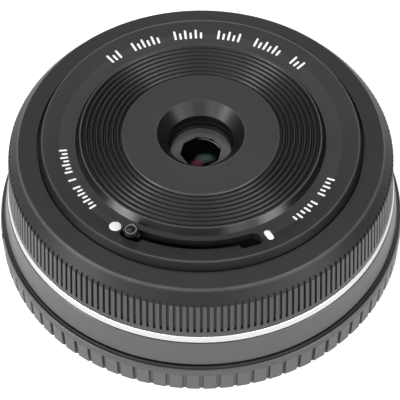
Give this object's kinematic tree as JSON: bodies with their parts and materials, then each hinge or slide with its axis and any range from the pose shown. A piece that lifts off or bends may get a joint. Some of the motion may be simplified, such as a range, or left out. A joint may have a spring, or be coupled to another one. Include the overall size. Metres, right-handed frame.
{
  "type": "camera lens",
  "caption": "Thin autofocus prime lens with a knurled barrel, stepped front plate, sliding lever for a built-in cover and a ribbed rear cap.",
  "frame": {"origin": "where the optical axis meets the bayonet flange plane", "axes": "+Z along the optical axis towards the front element; the lever and the index dot are on the -Y side"},
  "size_m": [0.062, 0.062, 0.0212],
  "materials": {
    "anodised_black": "satin black anodised, finely turned",
    "front_black": "fine matte black coating",
    "bright_trim": "bright diamond-cut bevel",
    "satin_grey": "fine bead-blasted dark grey anodised",
    "mount_chrome": "satin chrome plating",
    "cap_plastic": "fine moulded texture",
    "knob_black": "satin black, turned",
    "slide_plastic": "smooth dark acetal",
    "cover_black": "matte black coated sheet",
    "cam_steel": "blackened steel",
    "pin_steel": "ground steel",
    "screw_steel": "plated steel",
    "cell_black": "matte black anodised",
    "cell_plastic": "glass-filled black plastic",
    "coated_glass": "polished, magenta and green coatings",
    "stop_metal": "dark oxide sheet",
    "coil_wire": "enamelled copper winding",
    "magnet_nickel": "nickel plated magnet",
    "yoke_iron": "plated soft iron",
    "board_green": "solder mask",
    "chip_black": "moulded packages",
    "flex_amber": "polyimide film",
    "contact_gold": "gold plated"
  },
  "bodies": {
    "barrel": {"front_plate": "front_black", "grip_barrel": "anodised_black", "trim_ring": "bright_trim", "rear_barrel": "satin_grey", "bayonet_mount": "mount_chrome", "mount_screws": "screw_steel", "barrel_screws": "screw_steel", "frame_screws": "screw_steel", "cover_base_plate": "cover_black", "blade_pivot_pins": "pin_steel", "element_1": "coated_glass", "element_2": "coated_glass", "element_3": "coated_glass", "element_6": "coated_glass", "spacer_1": "cell_plastic", "spacer_2": "cell_plastic", "front_retaining_ring": "cell_black", "rear_retaining_ring": "cell_black", "front_cell": "cell_black", "aperture_stop": "stop_metal", "stop_retainer": "cell_black", "rear_cell": "cell_plastic", "yoke": "yoke_iron", "magnets": "magnet_nickel", "guide_rods": "pin_steel", "position_sensor": "chip_black", "main_frame": "cell_plastic", "main_board": "board_green", "board_chips": "chip_black", "contact_flex": "flex_amber", "contact_block": "cell_plastic", "contact_pins": "contact_gold", "rear_baffle": "cell_plastic"},
    "lever": {"cam_ring": "cam_steel", "lever_knob": "knob_black", "lever_shoe": "slide_plastic"},
    "blade_a": {"cover_blade_a": "cover_black", "blade_a_pin": "pin_steel"},
    "blade_b": {"cover_blade_b": "cover_black", "blade_b_pin": "pin_steel"},
    "focus_group": {"focus_cell": "cell_plastic", "element_4": "coated_glass", "element_5": "coated_glass", "focus_spacer": "cell_plastic", "focus_retaining_ring": "cell_black", "voice_coil": "coil_wire", "scale_magnet": "magnet_nickel"},
    "rear_cap": {"rear_cap": "cap_plastic"}
  },
  "joints": [
    {"name": "lever_turn", "type": "hinge", "parent": "barrel", "child": "lever", "pos_m": [0, 0, 0.013], "axis": [0, 0, 1], "range_deg": [0, 47]},
    {"name": "blade_a_swing", "type": "hinge", "parent": "barrel", "child": "blade_a", "pos_m": [0.011, 0, 0.0126], "axis": [0, 0, 1], "range_deg": [0, 32]},
    {"name": "blade_b_swing", "type": "hinge", "parent": "barrel", "child": "blade_b", "pos_m": [-0.011, 0, 0.0123], "axis": [0, 0, 1], "range_deg": [0, 32]},
    {"name": "focus_slide", "type": "slide", "parent": "barrel", "child": "focus_group", "axis": [0, 0, 1], "range_m": [0, 0.0015]},
    {"name": "cap_pull", "type": "slide", "parent": "barrel", "child": "rear_cap", "axis": [0, 0, -1], "range_m": [0, 0.02]}
  ],
  "couplings": [
    {"joint": "blade_a_swing", "follows": "lever_turn", "ratio": 0.68085},
    {"joint": "blade_b_swing", "follows": "lever_turn", "ratio": 0.68085}
  ]
}
